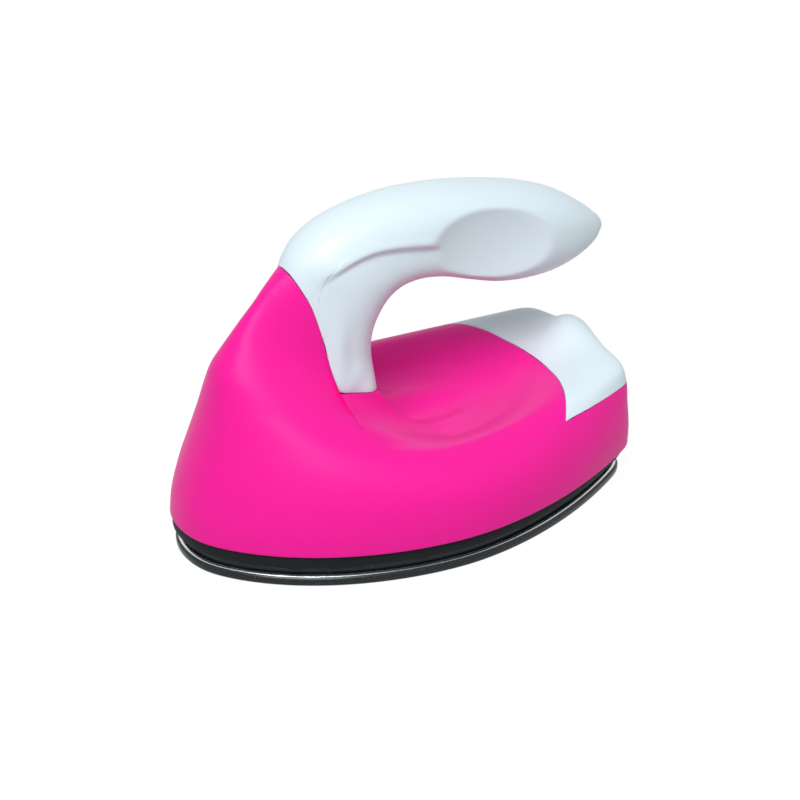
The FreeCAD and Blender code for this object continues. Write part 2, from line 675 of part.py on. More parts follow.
outer = cover_outer()
inner = cover_inner()
print("outer", outer.isValid(), outer.Volume, "inner", inner.isValid(), inner.Volume)
cap_zone = box(20.0, 70.0, -45.0, 45.0, cap_seam_height, 60.0).cut(
    cyl(cap_seam_x - cap_seam_radius, 0, cap_seam_height, 60.0, cap_seam_radius))
parts["soleplate"] = make_soleplate()
parts["heat_skirt"] = make_skirt()
parts["heat_shield"] = make_shield()
parts["body_cover"] = make_cover(outer, inner, cap_zone)
parts["rear_cap"] = make_cap(outer, inner, cap_zone)
parts["handle_left"] = make_handle()
parts["handle_right"] = parts["handle_left"].mirror(V(0, 0, 0), V(0, 1, 0))
make_heater()
make_thermostat()
make_leads()

parts["sole_screws"] = Part.Compound([
    screw(x, y, flange_top, 1.4, screw_radius, screw_head_radius, screw_head_height, up=False)
    for x, y in sole_screw_places])
parts["body_screws"] = Part.Compound([
    screw(x, y, sole_height + screw_head_height, 16.0, screw_radius, screw_head_radius, screw_head_height)
    for x, y in body_screw_places])
parts["cap_screws"] = Part.Compound([
    screw(x, y, sole_height + screw_head_height, 16.0, screw_radius, screw_head_radius, screw_head_height)
    for x, y in cap_screw_places])
parts["handle_screw"] = screw(tenon_x, 0, collar_bottom, 30.0, screw_radius, screw_head_radius, screw_head_height)
bar_end = clamp_screw_y + clamp_end
bar = box(clamp_x - clamp_half, clamp_x + clamp_half, -bar_end, bar_end, clamp_top - 2.0, clamp_top)
clamp_bolts = []
for y in (-clamp_screw_y, clamp_screw_y):
    bar = bar.cut(cyl(clamp_x, y, clamp_top - 2.0, clamp_top, small_screw_radius + seat_gap))
    clamp_bolts.append(screw(clamp_x, y, clamp_top - 2.0, clamp_top + 2.8, small_screw_radius,
                             small_head_radius, small_head_height))
parts["cord_clamp"] = bar
parts["cord_clamp_screws"] = Part.Compound(clamp_bolts)

os.makedirs("parts", exist_ok=True)
for name, shape in parts.items():
    print(name, len(shape.Solids), "valid", shape.isValid(), round(shape.Volume, 2))
    shape.exportStep("parts/" + name + ".step")
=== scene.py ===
# Mini handheld heat press in pink and white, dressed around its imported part
import json
import math

import bpy
import numpy as np
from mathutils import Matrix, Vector


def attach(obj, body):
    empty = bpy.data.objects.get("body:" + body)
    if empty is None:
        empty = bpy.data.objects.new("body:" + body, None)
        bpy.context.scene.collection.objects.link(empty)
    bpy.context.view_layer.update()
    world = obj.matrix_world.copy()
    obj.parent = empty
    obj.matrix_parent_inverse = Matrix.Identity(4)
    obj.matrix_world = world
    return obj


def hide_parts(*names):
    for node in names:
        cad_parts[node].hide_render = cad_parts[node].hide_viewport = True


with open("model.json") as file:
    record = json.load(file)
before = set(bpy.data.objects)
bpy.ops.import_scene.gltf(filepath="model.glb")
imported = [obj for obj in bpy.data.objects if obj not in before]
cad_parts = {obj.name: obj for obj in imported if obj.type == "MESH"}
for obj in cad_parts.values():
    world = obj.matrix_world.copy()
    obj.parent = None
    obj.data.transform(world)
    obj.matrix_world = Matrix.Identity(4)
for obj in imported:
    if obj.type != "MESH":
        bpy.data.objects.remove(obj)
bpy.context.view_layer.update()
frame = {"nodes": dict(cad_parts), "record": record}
mm = 0.001  # every shape below is worked out in millimetres
print("frame loaded,", len(frame["nodes"]), "nodes")


# Shape helpers: angles in radians, and a skin is a formula for a point at any level and angle
fine = {
    "weld": 0.0005,  # points nearer than this are one
    "lineStep": 0.02,
    "levelStep": 0.01,
    "slopeStep": 0.005,
    "leastSlope": 1.5,  # millimetres per level
    "rollRows": 4,
}


def between(table, level):
    # a table's values at any level, by a cubic through its rows' mean slopes
    rows = np.array(table, float)
    level = np.asarray(level, float)
    low = np.clip(np.floor(level).astype(int), 0, len(rows) - 2)
    f = (level - low)[..., None]
    slope = np.gradient(rows, axis=0)
    return ((2 * f**3 - 3 * f**2 + 1) * rows[low] + (f**3 - 2 * f**2 + f) * slope[low]
            + (3 * f**2 - 2 * f**3) * rows[low + 1] + (f**3 - f**2) * slope[low + 1])


def softStep(value, low, high):
    # 0 below low, 1 above high, eased in between
    share = np.clip((value - low) / (high - low), 0, 1)
    return share * share * (3 - 2 * share)


def lineRadius(centre, line, x, z, straight=0):
    # how far each point lies inside a side-view line, seen from a centre: above 0 on the centre's side;
    # the line is a curve through its points, but for as many straight spans at its end
    steps = np.arange(0, len(line) - 1 + 1e-9, fine["lineStep"])
    low = np.clip(np.floor(steps).astype(int), 0, len(line) - 2)
    f = (steps - low)[:, None]
    points = np.array(line, float)
    chords = points[low] * (1 - f) + points[low + 1] * f
    dense = np.where((low >= len(line) - 1 - straight)[:, None], chords, between(line, steps))
    turn = turnAbout(centre, dense[:, 0], dense[:, 1])
    reach = np.hypot(dense[:, 0] - centre[0], dense[:, 1] - centre[1])
    order = np.argsort(turn)
    away = np.hypot(x - centre[0], z - centre[1])
    return np.interp(turnAbout(centre, x, z), turn[order], reach[order]) - away


def turnAbout(centre, x, z):
    return np.arctan2(z - centre[1], x - centre[0]) % (2 * math.pi)


def normalsOf(skin, level, angle, turn):
    # cross product of the skin's two slopes; turn is 1 or -1, whichever points outwards
    step = fine["levelStep"]
    along = skin(level + step, angle) - skin(level - step, angle)
    around = skin(level, angle + step) - skin(level, angle - step)
    normal = np.cross(around, along) * turn
    return normal / np.linalg.norm(normal, axis=-1, keepdims=True)


def crossing(found, levels):
    # first level in each column where found turns true
    return levels[np.argmax(found, axis=0)]


def rolledEdge(skin, level, angle, side, turn, edge, ease=1.0):
    # rows that roll a skin's edge over a quarter circle and carry it through the wall;
    # side is 1 where the skin lies at higher levels than its edge, -1 where it lies lower
    step = fine["slopeStep"]
    slope = np.linalg.norm(skin(level + step, angle) - skin(level - step, angle), axis=-1) / (2 * step)
    perLevel = side * ease / np.maximum(slope, fine["leastSlope"])
    normal = normalsOf(skin, level, angle, turn)
    rows = []
    for bend in np.linspace(0, math.pi / 2, fine["rollRows"]):
        back = edge["gap"] + edge["radius"] * (1 - math.sin(bend))
        drop = edge["radius"] * (1 - math.cos(bend)) * ease
        rows.append(skin(level + back * perLevel, angle) - normal * np.asarray(drop)[..., None])
    rows.append(skin(level + edge["gap"] * perLevel, angle) - normal * edge["wall"])
    return level + (edge["gap"] + edge["radius"]) * perLevel, np.array(rows)


def levelsBetween(first, last, count):
    share = np.linspace(0, 1, count)[:, None]
    return first[None] * (1 - share) + last[None] * share


def outerRows(skin, first, last, angle, count):
    # a skin's rows from one level line to another
    level = levelsBetween(first, last, count)
    return skin(level, np.broadcast_to(angle, level.shape))


def innerRows(skin, first, last, angle, count, wall):
    # the same, moved in by the wall
    level = levelsBetween(first, last, count)
    wide = np.broadcast_to(angle, level.shape)
    return skin(level, wide) - normalsOf(skin, level, wide, 1) * wall


def welded(name, grids, smoothBelow=40):
    # one mesh from grids of points, each with a flag for columns that close up; equal points are
    # merged, and edges that turn by more than smoothBelow degrees stay crisp
    points = []
    quads = []
    offset = 0
    for grid, closed in grids:
        rows, columns = grid.shape[:2]
        index = np.arange(rows * columns).reshape(rows, columns) + offset
        if closed:
            index = np.hstack([index, index[:, :1]])
        around = [index[:-1, :-1], index[:-1, 1:], index[1:, 1:], index[1:, :-1]]
        quads.append(np.stack(around, -1).reshape(-1, 4))
        points.append(grid.reshape(-1, 3))
        offset += rows * columns
    points = np.concatenate(points)
    keys = np.round(points / fine["weld"]).astype(np.int64)
    _, first, same = np.unique(keys, axis=0, return_index=True, return_inverse=True)
    corners = points[first]
    quads = same.reshape(-1)[np.concatenate(quads)]
    # a quad that has lost one side is a triangle, and one that has lost more is left out
    keep = quads != np.roll(quads, -1, axis=1)
    full = quads[keep.all(axis=1)]
    full = full[(full[:, 0] != full[:, 2]) & (full[:, 1] != full[:, 3])]
    short = quads[keep.sum(axis=1) == 3]
    three = short[short != np.roll(short, -1, axis=1)].reshape(-1, 3)
    loops = np.concatenate([full.reshape(-1), three.reshape(-1)])
    starts = np.concatenate([np.arange(len(full)) * 4, len(full) * 4 + np.arange(len(three)) * 3])
    a, b, c, d = (corners[full[:, i]] for i in range(4))
    volume = (a * (np.cross(b, c) + np.cross(c, d))).sum() / 6
    mesh = bpy.data.meshes.new(name)
    mesh.vertices.add(len(corners))
    mesh.vertices.foreach_set("co", (corners * mm).ravel())
    mesh.loops.add(len(loops))
    mesh.loops.foreach_set("vertex_index", loops.astype(np.int32))
    mesh.polygons.add(len(starts))
    mesh.polygons.foreach_set("loop_start", starts.astype(np.int32))
    mesh.update(calc_edges=True)
    mesh.validate()
    if volume < 0:
        mesh.flip_normals()
    mesh.shade_smooth()
    mesh.set_sharp_from_angle(angle=math.radians(smoothBelow))
    piece = bpy.data.objects.new(name, mesh)
    bpy.context.scene.collection.objects.link(piece)
    print(name, len(mesh.polygons), "faces, about", round(abs(volume)), "mm3")
    return piece


def stops(places, counts):
    # column angles that pass through each of the given places, closer where a count is larger
    runs = [np.linspace(a, b, n, endpoint=False) for a, b, n in zip(places, places[1:], counts)]
    half = np.concatenate(runs + [[places[-1]]])
    return np.concatenate([half, -half[1:-1][::-1]])


# Plan outline of cover, sole and skirt: a rounded nose, and flanks that draw in towards square corners
plan = {
    "nosePower": 1.8,
    "tipEase": 0.2,  # rounds off the very tip
    "taperPower": 1.9,
}


def halfWidth(x, nose, heel, widest, half, taper, corner):
    front = np.clip((widest - x) / (widest - nose), 0, 1)
    rear = np.clip((x - widest) / (heel - widest), 0, 1)
    power = plan["nosePower"] + plan["tipEase"] * front**20
    noseHalf = half * (1 - front**power) ** (1 / power)
    flank = half * (1 - taper * rear ** plan["taperPower"])
    return np.where(x < widest, noseHalf, flank * np.sqrt(np.maximum(1 - rear**corner, 0)))


# Handle: a hollow swept form over the sections
handle = {
    # outer x, outer z, inner x, inner z, half width, from the foot of the post to the tip of the grip
    "sections": [
        (-22.0, 24.0, -5.6, 24.0, 8.6),
        (-22.4, 33.0, -6.8, 33.0, 8.5),
        (-23.6, 44.0, -7.0, 42.0, 8.6),
        (-25.9, 53.5, -3.9, 47.9, 9.0),
        (-24.9, 60.2, 0.3, 50.8, 9.3),
        (-19.2, 65.6, 5.2, 51.2, 9.4),
        (-11.8, 68.5, 10.6, 50.1, 9.5),
        (-1.8, 70.0, 16.6, 47.9, 9.8),
        (9.0, 69.7, 23.6, 45.7, 10.0),
        (20.0, 68.1, 30.6, 44.8, 9.9),
        (31.0, 65.5, 37.4, 45.0, 9.2),
        (39.6, 62.2, 43.4, 46.5, 7.8),
        (46.4, 57.9, 47.9, 48.6, 5.6),
        (50.1, 54.8, 50.4, 50.7, 3.3)],
    "fullness": 2.3,
    "tipLength": 0.45,
    "rows": 150,
    "wallShare": 0.6,  # the wall is at most this much of a narrow section
    "innerRows": 30,
    "innerSqueeze": 0.72,  # keeps the inner skin clear of the dimples
    "innerStop": 1.2,  # sections between the hollow's end and the tip
    "dimple": {"x": 18.6, "z": 56.8, "length": 18.0, "height": 17.0, "floor": 7.0, "rise": 5.8,
               "tilt": math.radians(8), "softness": 0.22},
    # the side is drawn in below this line, where a hood covers the bend
    "hood": {"line": [(-25.0, 52.5), (-21.7, 57.3), (-16.5, 60.3), (-8.5, 62.3), (3.1, 61.1), (14.0, 58.6)],
             "centre": (-5.0, 42.0), "depth": 1.1, "edge": (-0.3, 1.6), "fade": 8.0,
             "lip": 0.12, "lipAt": -0.7, "lipWidth": 0.8,
             "startX": (-24.0, -14.0), "endX": (4.0, 15.0), "sideY": (3.5, 7.5)},
    # joint between the white handle and the pink neck, seen from the side
    "seam": [(-27.4, 64.0), (-26.0, 60.6), (-24.6, 57.4), (-22.4, 52.0), (-20.5, 44.6), (-17.9, 33.6),
             (-5.0, 29.9), (9.0, 26.0)],
    "seamCorner": (-17.9, 33.6),
    "seamCentre": (0.0, 60.0),
    "seamEdge": {"gap": 0.07, "radius": 0.18, "wall": 2.0},
    # the handle takes on the neck's width within this distance of the joint, less and less over these x
    "flushReach": 8.0,
    "flushX": (2.0, 9.0),
    "flushRatio": (0.8, 1.3),
    "flushFrom": 4.5,  # where the joint is narrower, its width isn't compared
    "flushSteps": 240,
    "flushSpread": 51,
    # sections between which the joint lies, seen from the neck and from the grip
    "bendLevels": (0, 6),
    "neckLevels": (0, 9),
    # columns stand closer near the joint's corner
    "cornerReach": 0.12,
    "columns": (54, 12, 22, 60),
}


def withinSeam(x, z):
    # above 0 on the white side of the joint between the neck and the handle
    return lineRadius(handle["seamCentre"], handle["seam"], x, z, 2)


def atCorner(points):
    # index of the point that lies nearest to the joint's corner, seen from the side
    cornerX, cornerZ = handle["seamCorner"]
    return np.argmin(np.hypot(points[:, 0] - cornerX, points[:, 2] - cornerZ))


def handleSkin(level, angle, inset=0.0):
    # a superellipse across each section: cosine power along the section, sine power across it;
    # past the last section the tip closes on a quarter turn
    last = len(handle["sections"]) - 1
    rows = between(handle["sections"], np.minimum(level, last))
    outerX, outerZ, innerX, innerZ, half = np.moveaxis(rows, -1, 0)
    closing = np.clip(level - last, 0, 1) * math.pi / 2
    acrossX, acrossZ = outerX - innerX, outerZ - innerZ
    length = np.hypot(acrossX, acrossZ)
    acrossX, acrossZ = acrossX / length, acrossZ / length
    pull = np.minimum(inset, handle["wallShare"] * half)
    reach = (length / 2 - pull) * np.cos(closing)
    width = (half - pull) * np.cos(closing)
    power = 2 / handle["fullness"]
    c, s = np.cos(angle), np.sin(angle)
    up = np.sign(c) * np.abs(c) ** power * reach
    y = np.sign(s) * np.abs(s) ** power * width
    ahead = handle["tipLength"] * np.sin(closing)
    x = (outerX + innerX) / 2 + acrossX * up + acrossZ * ahead
    z = (outerZ + innerZ) / 2 + acrossZ * up - acrossX * ahead
    side = np.abs(y)
    if inset == 0:
        side = flush(x, z, dimpled(x, z, drawnIn(x, z, side)))
    return np.stack([x, np.sign(y) * side, z], -1)


def drawnIn(x, z, side):
    # below the hood's edge the side falls in within a millimetre and comes back out lower down
    hood = handle["hood"]
    below = lineRadius(hood["centre"], hood["line"], x, z)
    reach = softStep(x, *hood["startX"]) * (1 - softStep(x, *hood["endX"])) * softStep(side, *hood["sideY"])
    dip = softStep(below, *hood["edge"]) * np.exp(-(np.maximum(below, 0) / hood["fade"]) ** 2)
    lip = np.exp(-((below - hood["lipAt"]) / hood["lipWidth"]) ** 2) * hood["lip"]
    return side - reach * (hood["depth"] * dip - lip)


def dimpled(x, z, side):
    # the lower of the side and an ellipsoid's wall, with a soft corner where they meet
    d = handle["dimple"]
    alongX = (x - d["x"]) * math.cos(d["tilt"]) - (z - d["z"]) * math.sin(d["tilt"])
    alongZ = (x - d["x"]) * math.sin(d["tilt"]) + (z - d["z"]) * math.cos(d["tilt"])
    inside = np.clip(1 - (alongX / d["length"]) ** 2 - (alongZ / d["height"]) ** 2, 1e-4, 1)
    floor = d["floor"] + d["rise"] * (1 - np.sqrt(inside))
    apart = np.clip((side - floor) / d["softness"], -30, 30)
    return side - d["softness"] * np.log1p(np.exp(apart))


def flush(x, z, side):
    # near the joint the side moves to the width of the neck, in the direction of each point
    reach = (1 - softStep(withinSeam(x, z), 0, handle["flushReach"])) * (1 - softStep(x, *handle["flushX"]))
    ratio = np.interp(turnAbout(handle["seamCentre"], x, z), neckTurns, neckRatios)
    return side * (1 + (ratio - 1) * reach)


def handleSide(x, z):
    # the handle's half width at a side-view point: the section whose line passes nearest to it
    level = np.linspace(*handle["bendLevels"], 181)
    columns = between(handle["sections"], level).T
    outerX, outerZ, innerX, innerZ, half = [v.reshape((-1,) + (1,) * np.ndim(x)) for v in columns]
    length = np.hypot(outerX - innerX, outerZ - innerZ)
    acrossX, acrossZ = (outerX - innerX) / length, (outerZ - innerZ) / length
    offX, offZ = x - (outerX + innerX) / 2, z - (outerZ + innerZ) / 2
    miss = np.abs(offX * acrossZ - offZ * acrossX)
    best = np.argmin(miss, axis=0)[None]
    share = np.take_along_axis((offX * acrossX + offZ * acrossZ) / (length / 2), best, 0)[0]
    half = np.take_along_axis(np.broadcast_to(half, miss.shape), best, 0)[0]
    share = np.clip(np.abs(share), 0, 1)
    return half * (1 - share ** handle["fullness"]) ** (1 / handle["fullness"])


def matchNeck():
    # cover's half width over the handle's along their joint, by direction from the seam's centre;
    # evened out over some 12 degrees, so that no ridge runs out from the joint's corner
    angle = np.linspace(0.02, math.pi - 0.02, 300)
    edge = coverSkin(levelAtNeck(angle), angle)
    own = drawnIn(edge[:, 0], edge[:, 2], handleSide(edge[:, 0], edge[:, 2]))
    broad = own > handle["flushFrom"]
    turn = turnAbout(handle["seamCentre"], edge[broad, 0], edge[broad, 2])
    ratio = np.clip(edge[broad, 1] / own[broad], *handle["flushRatio"])
    order = np.argsort(turn)
    print("cover to handle width at the neck", ratio.min().round(2), "to", ratio.max().round(2))
    even = np.linspace(turn.min(), turn.max(), handle["flushSteps"])
    spread = np.hanning(handle["flushSpread"])
    ratio = np.pad(np.interp(even, turn[order], ratio[order]), len(spread) // 2, mode="edge")
    return even, np.convolve(ratio, spread / spread.sum(), mode="valid")


def handleStart(angle):
    # the last level in each column that the neck still covers
    levels = np.linspace(*handle["neckLevels"], 1801)
    grid = handleSkin(levels[:, None], angle[None])
    pink = withinSeam(grid[..., 0], grid[..., 2]) < 0
    return levels[len(levels) - 1 - np.argmax(pink[::-1], axis=0)]


def makeHandle():
    probe = np.linspace(0.001, math.pi - 0.001, 400)
    corner = probe[atCorner(handleSkin(handleStart(probe), probe))]
    near = handle["cornerReach"]
    angle = stops([0.0, corner - near, corner, corner + near, math.pi], handle["columns"])
    start, lip = rolledEdge(handleSkin, handleStart(angle), angle, 1, -1, handle["seamEdge"])
    sections = len(handle["sections"])
    outer = outerRows(handleSkin, start, np.full_like(start, sections), angle, handle["rows"])
    deepest = np.full_like(start, sections - 1 - handle["innerStop"])
    innerLevel = levelsBetween(deepest, start, handle["innerRows"])
    inner = handleSkin(innerLevel, np.broadcast_to(angle, innerLevel.shape), handle["seamEdge"]["wall"])
    inner[..., 1] *= handle["innerSqueeze"]
    pole = np.broadcast_to(inner[0].mean(axis=0), inner[:1].shape)
    rows = np.concatenate([pole, inner, lip[::-1][1:], outer[1:]])
    piece = welded("whiteHandle", [(rows, True)])
    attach(piece, "housing")
    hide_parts("handle_left", "handle_right")
    return piece


# Cover and cap: rings from the lower edge over the rim and the dish up the neck
cover = {
    # nose x, heel x, widest x, half width, flank taper, corner power, z at nose, side and heel
    "rings": [
        (-50.9, 50.9, 1.0, 34.1, 0.46, 45.0, 7.4, 7.4, 7.4),
        (-50.2, 50.8, 1.0, 33.8, 0.45, 45.0, 12.5, 12.0, 12.5),
        (-48.2, 50.5, 0.0, 32.6, 0.44, 45.0, 19.0, 16.6, 18.0),
        (-45.6, 50.0, -1.0, 30.3, 0.42, 60.0, 26.0, 20.2, 22.6),
        (-43.7, 48.8, -1.0, 27.3, 0.39, 50.0, 32.0, 22.5, 26.2),
        (-42.4, 44.0, -1.0, 24.0, 0.42, 11.0, 37.0, 23.3, 27.0),
        (-41.0, 37.2, -1.0, 20.6, 0.40, 5.0, 41.3, 22.2, 24.8),
        (-38.3, 31.4, -3.0, 16.1, 0.30, 3.2, 45.4, 20.0, 21.6),
        (-35.2, 22.0, -8.0, 11.2, 0.15, 2.6, 49.5, 19.0, 18.6),
        (-31.8, 7.0, -12.0, 8.9, 0.0, 2.3, 53.2, 20.5, 17.0),
        (-28.8, -3.2, -14.0, 8.5, 0.0, 2.1, 56.4, 28.0, 19.5),
        (-25.6, -5.7, -15.0, 8.4, 0.0, 2.1, 59.2, 43.0, 29.0),
        (-22.5, -8.0, -15.0, 7.4, 0.0, 2.0, 61.0, 61.0, 61.0)],
    # a ring rises from turnX to its height at the nose, and over backReach to its height at the heel
    "turnX": 6.0,
    "backReach": 12.0,
    "climbPower": 2.0,
    "neckEase": 0.5,
    "easeLevels": (5, 7),
    "humpX": 44.5,
    "humpLength": 7.5,
    "humpWidth": 5.5,
    "humpHeight": 4.0,
    "humpRise": 3.0,
    "capHeight": 22.0,
    "capArcX": -7.0,
    "capArcRadius": 42.0,
    "outletHeight": 21.6,
    "outletRadius": 3.0,
    "seamEdge": {"gap": 0.07, "radius": 0.18, "wall": 1.9},
    "lowerEdge": {"gap": 0.12, "radius": 0.3, "wall": 1.9},
    # where no cap parts them, the rows below and above the joint meet at this level
    "meetLevel": 3.2,
    "meetEase": 0.6,
    "gapEase": 0.06,  # the gap round the cap closes this near to its corners
    # levels between which the heel wall, the cap's front arc and the neck's joint are looked for
    "wallLevels": (0.5, 5.0),
    "deckLevels": (2.5, 8.5),
    "neckLevels": (8.0, 12.0),
    # angles between which the corners of the cap and of the neck are looked for
    "capAngles": (0.3, 1.5),
    "neckAngles": (0.9, 2.6),
    "boreColumns": 9,
    "columns": (22, 46, 34, 24, 56),
    "lowerRows": 40,
    "upperRows": 120,
    "capRows": 70,
    "innerRows": {"lower": 12, "upper": 36, "cap": 20},
}


def coverSkin(level, angle):
    rings = between(cover["rings"], level)
    nose, heel, widest, half, taper, corner, zNose, zSide, zHeel = np.moveaxis(rings, -1, 0)
    x = (nose + heel) / 2 + (heel - nose) / 2 * np.cos(angle)
    side = halfWidth(x, nose, heel, widest, half, taper, corner)
    climb = np.clip((cover["turnX"] - x) / (cover["turnX"] - nose), 0, 1)
    climbPower = cover["climbPower"] - cover["neckEase"] * softStep(level, *cover["easeLevels"])
    turn = np.minimum(cover["turnX"], heel - cover["backReach"])
    back = np.clip((x - turn) / (heel - turn), 0, 1) ** 2
    z = zSide + (zNose - zSide) * climb**climbPower * (1 - back) + (zHeel - zSide) * back
    deck = softStep(z, cover["outletHeight"], cover["outletHeight"] + cover["humpRise"])
    spread = ((x - cover["humpX"]) / cover["humpLength"]) ** 2 + (side / cover["humpWidth"]) ** 2
    z = z + deck * cover["humpHeight"] * np.exp(-spread)
    return np.stack([x, side * np.sign(np.sin(angle)), z], -1)


def coverGrid(levels, angle):
    return coverSkin(levels[:, None], np.broadcast_to(angle, (len(levels), len(angle))))


def levelAtHeight(angle, height):
    levels = np.linspace(*cover["wallLevels"], 2251)
    return crossing(coverGrid(levels, angle)[..., 2] >= height, levels)


def levelAtArc(angle):
    # the last level behind the cap's front arc, or 0 in a column that the cap doesn't reach
    levels = np.linspace(*cover["deckLevels"], 3001)
    points = coverGrid(levels, angle)
    behind = np.hypot(points[..., 0] - cover["capArcX"], points[..., 1]) > cover["capArcRadius"]
    last = len(levels) - 1 - np.argmax(behind[::-1], axis=0)
    return np.where(behind.any(axis=0), levels[last], 0.0)


def levelAtNeck(angle):
    levels = np.linspace(*cover["neckLevels"], 2001)
    points = coverGrid(levels, angle)
    return crossing(withinSeam(points[..., 0], points[..., 2]) > 0, levels)


def coverLines():
    # column angles that pass through the outlet's edge, the cap's corner and the neck's corner, and
    # the level at which each column meets the cap's lower edge, its front arc and the neck's joint
    probe = np.linspace(*cover["capAngles"], 1201)
    capAngle = probe[np.argmax(levelAtArc(probe) <= levelAtHeight(probe, cover["capHeight"]))]
    probe = np.linspace(*cover["neckAngles"], 600)
    neckAngle = probe[atCorner(coverSkin(levelAtNeck(probe), probe))]
    print("cap and neck corners at", np.degrees([capAngle, neckAngle]).round(1), "degrees")
    # in the middle of the heel the half width grows in step with the angle
    bore = cover["outletRadius"]
    small = np.linspace(0.0, 0.2, 401)
    heelY = coverSkin(levelAtHeight(small, cover["capHeight"]), small)[:, 1]
    turns = np.linspace(0, math.pi / 2, cover["boreColumns"])
    boreAngle = np.interp(bore * np.sin(turns), heelY, small)
    places = [boreAngle[-1] * 1.01, cover["capAngles"][0], capAngle, neckAngle, neckAngle + 0.1, math.pi]
    rest = stops(places, cover["columns"])
    half = np.concatenate([boreAngle, rest[:len(rest) // 2 + 1]])
    angle = np.concatenate([half, -half[1:-1][::-1]])
    capColumns = np.abs(angle) <= capAngle + 1e-9

    edgeY = np.abs(coverSkin(levelAtHeight(angle, cover["capHeight"]), angle)[:, 1])
    arch = np.sqrt(np.maximum(bore**2 - edgeY**2, 0))
    inBore = edgeY <= bore * 1.0001
    low = levelAtHeight(angle, np.where(inBore, cover["outletHeight"] - arch, cover["capHeight"]))
    high = levelAtHeight(angle, np.where(inBore, cover["outletHeight"] + arch, cover["capHeight"]))
    meet = np.interp(capAngle, half, low[:len(half)])
    settling = softStep(np.abs(angle), capAngle, capAngle + cover["meetEase"])
    settle = meet + (cover["meetLevel"] - meet) * settling
    low = np.where(capColumns, low, settle)
    arc = np.where(capColumns, np.maximum(levelAtArc(angle), low), settle)
    corner = np.isclose(np.abs(angle), capAngle)
    low[corner] = arc[corner] = high[corner] = meet
    ease = softStep(capAngle - np.abs(angle), 0.0, cover["gapEase"])
    lines = {"angle": angle, "low": low, "high": high, "arc": arc, "neck": levelAtNeck(angle), "ease": ease}
    return lines, capColumns


def makeCover(lines, capColumns):
    angle, ease = lines["angle"], lines["ease"]
    seam, lowerEdge = cover["seamEdge"], cover["lowerEdge"]
    lowStart, slitLow = rolledEdge(coverSkin, lines["low"], angle, -1, 1, seam, ease)
    arcStart, slitHigh = rolledEdge(coverSkin, lines["arc"], angle, 1, 1, seam, ease)
    neckEnd, neckLip = rolledEdge(coverSkin, lines["neck"], angle, -1, 1, seam)
    footStart, footLip = rolledEdge(coverSkin, np.zeros_like(angle), angle, 1, 1, lowerEdge)
    lower = outerRows(coverSkin, footStart, lowStart, angle, cover["lowerRows"])
    upper = outerRows(coverSkin, arcStart, neckEnd, angle, cover["upperRows"])
    counts = cover["innerRows"]
    lowerInner = innerRows(coverSkin, lowStart, footStart, angle, counts["lower"], seam["wall"])
    upperInner = innerRows(coverSkin, neckEnd, arcStart, angle, counts["upper"], seam["wall"])
    lowerInner[0] = slitLow[-1]
    lowerInner[-1] = footLip[-1]
    upperInner[0] = neckLip[-1]
    upperInner[-1] = slitHigh[-1]
    belowCap = np.concatenate([lowerInner, footLip[::-1][1:], lower[1:]])
    aboveCap = np.concatenate([upper, neckLip[1:], upperInner[1:]])
    order = np.argsort(angle[capColumns])
    lowStrip = slitLow[:, capColumns][:, order]
    highStrip = slitHigh[::-1][:, capColumns][:, order]
    shell = welded("pinkCover", [(belowCap, True), (aboveCap, True), (lowStrip, False), (highStrip, False)])
    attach(shell, "housing")
    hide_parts("body_cover")
    return shell


def makeCap(lines, capColumns):
    order = np.argsort(lines["angle"][capColumns])
    angle, low, high, ease = (lines[key][capColumns][order] for key in ("angle", "high", "arc", "ease"))
    seam = cover["seamEdge"]
    lowEnd, lowLip = rolledEdge(coverSkin, low, angle, 1, 1, seam, ease)
    highEnd, highLip = rolledEdge(coverSkin, high, angle, -1, 1, seam, ease)
    outer = outerRows(coverSkin, lowEnd, highEnd, angle, cover["capRows"])
    inner = innerRows(coverSkin, highEnd, lowEnd, angle, cover["innerRows"]["cap"], seam["wall"])
    inner[0] = highLip[-1]
    inner[-1] = lowLip[-1]
    for end in (0, -1):
        inner[:, end] = inner[0, end]
    rows = np.concatenate([lowLip[::-1], outer[1:], highLip[1:], inner[1:]])
    cap = welded("whiteCap", [(rows, False)])
    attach(cap, "housing")
    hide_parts("rear_cap")
    return cap


# Sole and heat skirt: one plan outline drawn in by each row's inset
base = {
    "length": 100.0,
    "width": 65.5,
    "widestX": 1.0,
    "taper": 0.5,
    "cornerPower": 45.0,
    "columns": 360,
    # inset, z: from under the sole up the wall, over the polished edge, up the rim and down inside it
    "soleProfile": [(0.9, 0.0), (0.35, 0.12), (0.08, 0.4), (0.0, 0.8), (0.0, 1.55), (0.06, 1.75),
                    (0.22, 1.9), (0.55, 2.16), (0.78, 2.3), (1.0, 2.38), (1.35, 2.4), (1.5, 2.5),
                    (1.5, 4.55), (1.7, 4.6), (5.8, 4.6), (6.0, 4.5), (6.0, 2.45), (6.2, 2.4), (12.0, 2.4)],
    "fillShares": (0.0, 0.35, 0.7),  # rows that fill the sole's flat faces in to the middle
    # outwards over the rim, then up the outside and back in over the top
    "skirtProfile": [(11.0, 4.6), (1.3, 4.6), (0.4, 4.62), (-0.1, 4.68), (-0.38, 4.85), (-0.5, 5.1),
                     (-0.5, 6.9), (-0.42, 7.2), (-0.2, 7.36), (0.2, 7.4), (10.6, 7.4), (11.0, 7.0)],
    "crispAbove": 30,
    # half-round nubs hang from the skirt's lower edge, and a shallow step runs along it near the nose
    "nubs": (-36.0, -12.0, 12.0),
    "nubRadius": 1.0,
    "nubDrop": 0.5,
    "stepX": (-44.0, -24.0),
    "stepEase": 0.4,
    "stepDrop": 0.35,
    "edgeRows": (1, 6),  # rows of the profile that they pull down
    "edgeZ": (4.62, 5.3),  # less and less up to here
}


